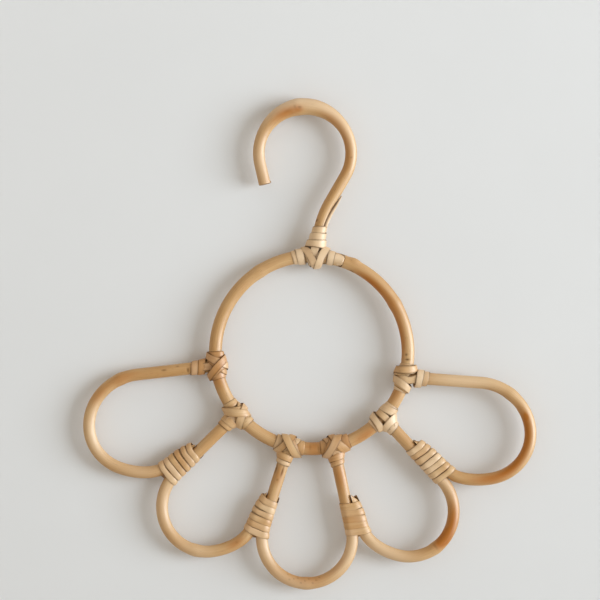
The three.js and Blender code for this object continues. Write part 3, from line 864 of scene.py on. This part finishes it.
def ring_path(joint, knot):
    """A first run down the leg, bands beside it, and strips that cross between them over the front."""
    lean = lean_of(joint)
    mirror = knot["mirror"]
    middle = mirror * (RING_CANE / 2 + PEEL_RIDE) * math.tan(lean)
    beside = joint["radius"] / math.cos(lean) + KNOT_WIDTH / 2 + PEEL_CLEARANCE
    right_band = beside + BAND_OVERLAP + knot["spread"][0]
    left_band = beside + BAND_OVERLAP + knot["spread"][1]
    right_bands, left_bands = knot.get("bands", (1, 1))
    right_start = -right_band - KNOT_PITCH * (right_bands - 1)
    left_start = left_band + KNOT_PITCH * (left_bands - 1)
    path = []

    def ring_pass(start, end, across_start, across_end, swerve=True):
        steps = math.ceil((end - start) * STRIP_STEPS)
        for step in range(steps):
            share = step / steps
            across = lerp(across_start, across_end, smoothstep(share, 0, 1) if swerve else share)
            place = mirror * (middle + across) + knot["shift"]
            path.append(on_ring(joint, place, lerp(start, end, share)))

    run = knot["first"] + knot["pitch"] / 2
    for step in range(DOWN_STEPS):
        path.append(on_leg(joint, lerp(run, RING_CANE, step / DOWN_STEPS), IN_FRONT, mirror))
    ring_pass(IN_FRONT / 2, INSIDE, -middle, -middle)
    ring_pass(INSIDE, BEHIND, -middle, right_start)
    ring_pass(BEHIND, BEHIND + right_bands, right_start, -right_band, swerve=False)
    ring_pass(BEHIND, ROUND, -right_band, -beside)
    side = -1
    *crossings, last = knot["inside"]
    for index, inside in enumerate(crossings):
        ring_pass(OUTSIDE, INSIDE, side * beside, inside)
        if index == 0:
            ring_pass(INSIDE, ROUND, inside, left_start)
            ring_pass(OUTSIDE, left_bands - 1 + BEHIND, left_start, left_band, swerve=False)
            ring_pass(BEHIND, ROUND, left_band, beside)
        else:
            ring_pass(INSIDE, ROUND, inside, -side * beside)
        side = -side
    ring_pass(OUTSIDE, INSIDE, side * beside, last)
    ring_pass(INSIDE, BEHIND, last, last / FOLD_BACK)
    return path


def knot_path(joint, knot, leg_turns):
    """The strip's path round the ring and then up the leg, and the index at which its leg turns start."""
    path = ring_path(joint, knot)
    pitch = knot["pitch"]
    last_point = path[-1]
    first_point = on_leg(joint, knot["first"] - pitch / 4, BEHIND, knot["mirror"])
    path.extend(last_point.lerp(first_point, step / FOLD_STEPS) for step in range(1, FOLD_STEPS))
    leg_from = len(path)
    for step in range(round((leg_turns + TAIL_TURN) * STRIP_STEPS) + 1):
        turn = step / STRIP_STEPS + BEHIND
        path.append(on_leg(joint, knot["first"] + pitch * (turn - 1), turn, knot["mirror"]))
    return path, leg_from


def hugged(joint, point):
    """The nearest place on the ring and the leg together, with their corner eased, and the way it faces."""
    for _ in range(HUG_ROUNDS):
        flat = Vector((point.x, 0.0, point.z))
        from_ring = point - flat.normalized() * RING_RADIUS
        offset = point - in_space(joint["point"])
        direction = in_space(joint["direction"])
        from_leg = offset - direction * max(0.0, offset.dot(direction))
        ring_depth = from_ring.length - RING_CANE / 2
        leg_depth = from_leg.length - joint["radius"]
        nearest = min(ring_depth, leg_depth)
        ring_share = math.exp((nearest - ring_depth) / CROTCH_BLEND)
        leg_share = math.exp((nearest - leg_depth) / CROTCH_BLEND)
        depth = nearest - CROTCH_BLEND * math.log(ring_share + leg_share)
        normal = (from_ring.normalized() * ring_share + from_leg.normalized() * leg_share).normalized()
        point = point + normal * (PEEL_RIDE - depth)
    return point, normal


def layered(strand, width, leg_from, flare):
    """Lifts a strand over its earlier turns where it crosses or covers them, and flares it on the leg."""
    points = [point for point, _ in strand]
    ways = [(after - before).normalized() for before, after in zip(points, points[1:])]
    ways.append(ways[-1])
    lifts = []
    for index, (point, normal) in enumerate(strand):
        lift = 0.0
        for before in range(index - NEXT_STEPS):
            other_point, other_normal = strand[before]
            away = (other_point - point).length
            if away > CROSSING_REACH * width or other_normal.dot(normal) < SAME_FACE:
                continue
            crossing = abs(ways[index].dot(ways[before])) < SAME_WAY
            if crossing or away < BESIDE_REACH * width:
                lift = max(lift, lifts[before] + PEEL_LAYER)
        if index >= leg_from:
            left = 1 - (index - leg_from) / (len(strand) - leg_from)
            lift = LEG_LIFT + flare * left**FLARE_POWER
        lifts.append(lift)
    for _ in range(LIFT_PASSES):
        inner = [(a + 2 * b + c) / 4 for a, b, c in zip(lifts, lifts[1:], lifts[2:])]
        lifts = [lifts[0], *inner, lifts[-1]]
    return [(point + normal * lift, normal) for (point, normal), lift in zip(strand, lifts)]


def knot_strand(joint, knot, leg_turns):
    path, leg_from = knot_path(joint, knot, leg_turns)
    strand = smoothed([hugged(joint, point) for point in path], HUG_PASSES)
    strand = layered(strand, KNOT_WIDTH, leg_from, knot["flare"])
    return smoothed(strand, LAYER_PASSES), leg_from


# A sliver of skin that has lifted off the right of the hook's neck. Its places to the side and to the front
# ease from the first to the second by a share of its length. It is dark from a place across it to its edge.
SPLINTER_FROM = 20.0
SPLINTER_TO = 44.0
SPLINTER_WIDTH = 3.0
SPLINTER_TAPER = 0.8
SPLINTER_POINTS = 40
SPLINTER_OUT = dict(start=3.2, end=4.5, by=0.8)
SPLINTER_FRONT = dict(start=2.7, end=1.8, by=0.7)
SPLINTER_LEAN = 0.3
SPLINTER_DARK_FROM = -0.2
SPLINTER_TINT = dict(warm=0.0, pale=0.6)


def splinter(material):
    def eased(sizes, share):
        return lerp(sizes["start"], sizes["end"], smoothstep(share, 0, sizes["by"]))

    route = hook_foot["route"]
    strand = []
    for step in range(SPLINTER_POINTS + 1):
        share = step / SPLINTER_POINTS
        distance = lerp(SPLINTER_FROM, SPLINTER_TO, share)
        right = -in_space(left_of(route.direction(distance)))
        offset = right * eased(SPLINTER_OUT, share) + FRONT * eased(SPLINTER_FRONT, share)
        normal = FRONT + right * SPLINTER_LEAN
        strand.append((in_space(route.place(distance)) + offset, normal.normalized()))
    piece = strip("hook_cane", strand, SPLINTER_WIDTH, 0.0, material, SPLINTER_SEED, SPLINTER_TINT,
                  part="splinter", taper=SPLINTER_TAPER)
    darkened = [END_DARKNESS if across > SPLINTER_DARK_FROM else 0.0 for across, _ in strip_section(0.0)]
    piece.data.attributes["dark"].data.foreach_set("value", darkened * len(strand))


# Materials. Colours go from 0 to 255. Noises have their waves per millimetre round and along the cane. A
# ramp turns a range of values into another one, from 0 to 1 if not given. Distances are in metres.
CANE_STRAW = (212, 172, 119)
CANE_TAN = (195, 148, 90)
PEEL_STRAW = (222, 186, 135)
PEEL_TAN = (205, 159, 101)
FIBRE_BROWN = (178, 122, 66)
PORE_BROWN = (120, 78, 40)
WARM_STAIN = (176, 102, 0)
# Pale: the paler tone of strips and of the chip at the ring's scarf, and painted highlight in the pale
# marks of the hook and the petals.
PALE_TONE_AND_PAINTED_HIGHLIGHT = (238, 207, 168)
# The dark colour serves slits, cut ends and the painted shade along the strips' edges.
DARK_SLIT_AND_EDGE_SHADE = (70, 40, 22)
# Painted shade for crevices, mixed in where ambient occlusion finds nearby surfaces.
CREVICE_PAINTED_SHADE = (84, 48, 24)
FIBRE_NOISE = dict(around=1.9, along=0.05, detail=3.0)
PATCH_NOISE = dict(around=0.13, along=0.022, detail=2.0, offset=40.0)
PORE_NOISE = dict(around=2.6, along=0.3, detail=1.0, offset=90.0)
FIBRE_RAMP = (0.35, 0.7, 0.0, 0.35)
PATCH_RAMP = (0.38, 0.66)
PORE_RAMP = (0.68, 0.76, 0.0, 0.45)
CREVICE_SHADE_RAMP = (0.2, 0.8, 0.9, 0.0)
ROUGHNESS_RAMP = (0.3, 0.7, 0.44, 0.58)
SHINE_RAMP = (0.0, 0.7, 0.5, 0.05)
CREVICE_SHADE_REACH = 0.0011
CREVICE_SHADE_SAMPLES = 8
BUMP_STRENGTH = 0.35
BUMP_HEIGHT = 0.0002
WIRE_GREYS = ((150, 152, 154), (196, 198, 200))
WIRE_SCRATCHES = dict(Scale=2500.0, Detail=4.0)
WIRE_ROUGHNESS = (0.3, 0.7, 0.25, 0.45)
PAINT_GREYS = ((229, 228, 226), (233, 232, 230))
PAINT_MOTTLE = dict(Scale=9.0, Detail=3.0)
PAINT_ROUGHNESS = 0.9


def srgb(colour):
    def linear(value):
        share = value / 255
        return share / 12.92 if share <= 0.04045 else ((share + 0.055) / 1.055) ** 2.4

    return (*map(linear, colour), 1.0)


class Nodes:
    """Short ways to add and link the nodes of one material or world."""

    def __init__(self, owner, output):
        owner.use_nodes = True
        self.owner = owner
        self.tree = owner.node_tree
        self.tree.nodes.clear()
        self.output = self.tree.nodes.new(output)

    def add(self, kind, settings=(), **inputs):
        made = self.tree.nodes.new(kind)
        for key, value in dict(settings).items():
            setattr(made, key, value)
        for key, value in inputs.items():
            self.give(made.inputs[key.replace("_", " ")], value)
        return made

    def give(self, socket, value):
        if isinstance(value, bpy.types.NodeSocket):
            self.tree.links.new(value, socket)
        else:
            socket.default_value = value

    def attribute(self, name, output="Fac"):
        return self.add("ShaderNodeAttribute", {"attribute_name": name}).outputs[output]

    def noise(self, place, **sizes):
        return self.add("ShaderNodeTexNoise", Vector=place, **sizes).outputs["Fac"]

    def stretched_noise(self, around, along, detail, offset=0.0):
        """Noise that is finer round the cane than along it."""
        place = self.add("ShaderNodeMapping", Vector=self.attribute("grain", "Vector"),
                         Scale=(around, around, along), Location=(offset, offset, offset))
        return self.noise(place.outputs["Vector"], Scale=1.0, Detail=detail)

    def ramp(self, value, low, high, start=0.0, end=1.0):
        sizes = {"From_Min": low, "From_Max": high, "To_Min": start, "To_Max": end}
        return self.add("ShaderNodeMapRange", {"clamp": True}, Value=value, **sizes).outputs["Result"]

    def mix(self, share, first, second):
        made = self.add("ShaderNodeMix", {"data_type": "RGBA"})
        self.give(made.inputs[0], share)
        self.give(made.inputs[6], first)
        self.give(made.inputs[7], second)
        return made.outputs[2]

    def most(self, first, second):
        made = self.add("ShaderNodeMath", {"operation": "MAXIMUM"})
        self.give(made.inputs[0], first)
        self.give(made.inputs[1], second)
        return made.outputs[0]

    def either(self, share, first, second):
        made = self.add("ShaderNodeMixShader", Fac=share)
        self.give(made.inputs[1], first)
        self.give(made.inputs[2], second)
        return made.outputs["Shader"]

    def shader(self, **inputs):
        return self.add("ShaderNodeBsdfPrincipled", **inputs).outputs["BSDF"]

    def show(self, surface):
        self.give(self.output.inputs["Surface"], surface)
        return self.owner


def material_nodes(name):
    return Nodes(bpy.data.materials.new(name), "ShaderNodeOutputMaterial")


def rattan(name, straw, tan):
    """Peeled rattan: long fibres, broad tan patches, fine pores, and the stains, slits and pale patches of
    its marks. Crevices and strip edges are darkened as painted shade, and the pale marks on the hook and
    the petals are painted highlight.
    """
    nodes = material_nodes(name)
    fibre = nodes.stretched_noise(**FIBRE_NOISE)
    patch = nodes.stretched_noise(**PATCH_NOISE)
    pores = nodes.stretched_noise(**PORE_NOISE)
    dark = nodes.attribute("dark")
    # Painted shade: ambient occlusion darkens the colour in crevices between strips and canes.
    open_sky = nodes.add("ShaderNodeAmbientOcclusion", {"samples": CREVICE_SHADE_SAMPLES}, Distance=CREVICE_SHADE_REACH)
    layers = [
        (nodes.ramp(fibre, *FIBRE_RAMP), FIBRE_BROWN),
        (nodes.ramp(pores, *PORE_RAMP), PORE_BROWN),
        (nodes.attribute("warm"), WARM_STAIN),
        (nodes.attribute("pale"), PALE_TONE_AND_PAINTED_HIGHLIGHT),
        (dark, DARK_SLIT_AND_EDGE_SHADE),
        (nodes.ramp(open_sky.outputs["AO"], *CREVICE_SHADE_RAMP), CREVICE_PAINTED_SHADE),
    ]
    colour = nodes.mix(nodes.ramp(patch, *PATCH_RAMP), srgb(straw), srgb(tan))
    for share, layer in layers:
        colour = nodes.mix(share, colour, srgb(layer))
    bump = nodes.add("ShaderNodeBump", Strength=BUMP_STRENGTH, Distance=BUMP_HEIGHT, Height=fibre)
    return nodes.show(nodes.shader(
        Base_Color=colour, Normal=bump.outputs["Normal"], Roughness=nodes.ramp(fibre, *ROUGHNESS_RAMP),
        Specular_IOR_Level=nodes.ramp(dark, *SHINE_RAMP),
    ))


def drawn_wire():
    """Bright wire with fine scratches."""
    nodes = material_nodes("brad_wire")
    scratches = nodes.noise(nodes.add("ShaderNodeTexCoord").outputs["Object"], **WIRE_SCRATCHES)
    colour = nodes.mix(scratches, *map(srgb, WIRE_GREYS))
    roughness = nodes.ramp(scratches, *WIRE_ROUGHNESS)
    return nodes.show(nodes.shader(Base_Color=colour, Metallic=1.0, Roughness=roughness))


def paint(name, see_through_back=False):
    """Pale matt paint. The wall's lets the view through to the hanger from behind."""
    nodes = material_nodes(name)
    mottle = nodes.noise(nodes.add("ShaderNodeTexCoord").outputs["Object"], **PAINT_MOTTLE)
    colour = nodes.mix(mottle, *map(srgb, PAINT_GREYS))
    surface = nodes.shader(Base_Color=colour, Roughness=PAINT_ROUGHNESS, Specular_IOR_Level=0.0)
    if see_through_back:
        behind = nodes.add("ShaderNodeNewGeometry").outputs["Backfacing"]
        surface = nodes.either(behind, surface, nodes.add("ShaderNodeBsdfTransparent").outputs["BSDF"])
    return nodes.show(surface)


# Stage, light and camera, in metres
WALL_BEHIND = 0.0092
WALL_TURN = 0.7
WALL_SIZE = (1.4, 3.0)
FLOOR_SIZE = (4.0, 4.0)
FLOOR_DROP = 0.35
CAMERA_DISTANCE = 1.5
VIEW_WIDTH = 0.39
VIEW_CENTRE = (-0.00325, -0.1204)
SENSOR = 36.0
KEY_PLACE = (4.9, -2.7, -0.2)
KEY_SIZE = 3.4
KEY_POWER = 305.0
KEY_COLOUR = (0.92, 1.025, 1.13)
SHINE_PLACE = (4.9, -0.7, 0.1)
SHINE_SIZE = 3.2
SHINE_POWER = 700.0
WORLD_LIGHT = 0.52
WORLD_SHOWN = 0.75
WORLD_COLOUR = (1.06, 1.0, 0.91, 1.0)
WHITE = (1.0, 1.0, 1.0, 1.0)


def stage_plane(name, size, place, rotation, material):
    x = size[0] / 2
    y = size[1] / 2
    mesh = bpy.data.meshes.new(name)
    corners = [(-x, -y, 0), (x, -y, 0), (x, y, 0), (-x, y, 0)]
    mesh.from_pydata(corners, [], [(0, 1, 2, 3)])
    mesh.materials.append(material)
    plane = bpy.data.objects.new(name, mesh)
    plane.location = place
    plane.rotation_euler = rotation
    bpy.context.scene.collection.objects.link(plane)


def make_stage():
    """A wall behind the hanger, at a slight angle to it, and a floor far below."""
    wall_place = (0, WALL_BEHIND, VIEW_CENTRE[1])
    wall_rotation = (math.pi / 2, 0, math.radians(WALL_TURN))
    stage_plane("wall", WALL_SIZE, wall_place, wall_rotation, paint("wall_paint", see_through_back=True))
    floor_place = (0, WALL_BEHIND - FLOOR_SIZE[1] / 2, cad_low.z - FLOOR_DROP)
    stage_plane("floor", FLOOR_SIZE, floor_place, (0, 0, 0), paint("floor_paint"))


def make_lamp(name, place, size, power):
    lamp = bpy.data.lights.new(name, "AREA")
    lamp.shape = "SQUARE"
    lamp.size = size
    lamp.energy = power
    light = bpy.data.objects.new(name, lamp)
    light.location = place
    aim = Vector((VIEW_CENTRE[0], 0.0, VIEW_CENTRE[1])) - light.location
    light.rotation_euler = aim.to_track_quat("-Z", "Y").to_euler()
    light.visible_camera = False
    bpy.context.scene.collection.objects.link(light)
    return light


def make_lamps():
    """Soft daylight from the right, and a lamp nearer the wall that only adds shine."""
    key = make_lamp("key", KEY_PLACE, KEY_SIZE, KEY_POWER)
    key.data.color = KEY_COLOUR
    shine = make_lamp("shine", SHINE_PLACE, SHINE_SIZE, SHINE_POWER)
    shine.visible_diffuse = False


def make_world():
    """A warm room for light, and plain and pale where it is seen itself or in a reflection."""
    nodes = Nodes(bpy.data.worlds.new("room"), "ShaderNodeOutputWorld")
    rays = nodes.add("ShaderNodeLightPath").outputs
    seen = nodes.most(rays["Is Camera Ray"], rays["Is Glossy Ray"])
    seen = nodes.most(seen, rays["Is Transmission Ray"])
    room = nodes.add("ShaderNodeBackground", Color=WORLD_COLOUR, Strength=WORLD_LIGHT)
    shown = nodes.add("ShaderNodeBackground", Color=WHITE, Strength=WORLD_SHOWN)
    surface = nodes.either(seen, room.outputs["Background"], shown.outputs["Background"])
    bpy.context.scene.world = nodes.show(surface)


def make_camera():
    data = bpy.data.cameras.new("camera")
    data.sensor_width = SENSOR
    data.lens = SENSOR * CAMERA_DISTANCE / VIEW_WIDTH
    camera = bpy.data.objects.new("camera", data)
    camera.location = (VIEW_CENTRE[0], -CAMERA_DISTANCE, VIEW_CENTRE[1])
    camera.rotation_euler = (math.pi / 2, 0, 0)
    bpy.context.scene.collection.objects.link(camera)
    bpy.context.scene.camera = camera


def make_lashings(material):
    strand, leg_from = knot_strand(hook_foot, HOOK_KNOT, HOOK_LEG_TURNS)
    strip("hook_lashing", strand, KNOT_WIDTH, KNOT_CROWN, material, HOOK_LASHING_SEED, HOOK_KNOT, leg_from)
    for index, (leg, knot, seed) in enumerate(zip(legs, FOOT_KNOTS, FOOT_LASHING_SEEDS)):
        strand, leg_from = knot_strand(leg, knot, FOOT_LEG_TURNS)
        node = f"foot_lashing_{index + 1}"
        strip(node, strand, KNOT_WIDTH, KNOT_CROWN, material, seed, knot, leg_from)


def make_wraps(material):
    for index, (lap, look, seed) in enumerate(zip(laps, LAP_LOOKS, LAP_WRAP_SEEDS)):
        strand = lap_strand(lap, look["lead"])
        node = f"lap_wrap_{index + 1}"
        strip(node, strand, look["width"], look["crown"], material, seed, look, edge_shade=look["edge_shade"])


def make_hanger():
    cane_material = rattan("cane_rattan", CANE_STRAW, CANE_TAN)
    peel_material = rattan("peel_rattan", PEEL_STRAW, PEEL_TAN)
    make_ring(cane_material)
    make_hook(cane_material)
    splinter(cane_material)
    for index in range(len(petals)):
        make_petal(index, cane_material)
    make_lashings(peel_material)
    make_wraps(peel_material)


def finish_brads():
    wire = drawn_wire()
    for name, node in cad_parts.items():
        if "_brad" in name:
            for slot in node.material_slots:
                slot.material = wire


make_hanger()
finish_brads()
make_stage()
make_lamps()
make_world()
make_camera()
bpy.context.scene.view_settings.view_transform = "Standard"
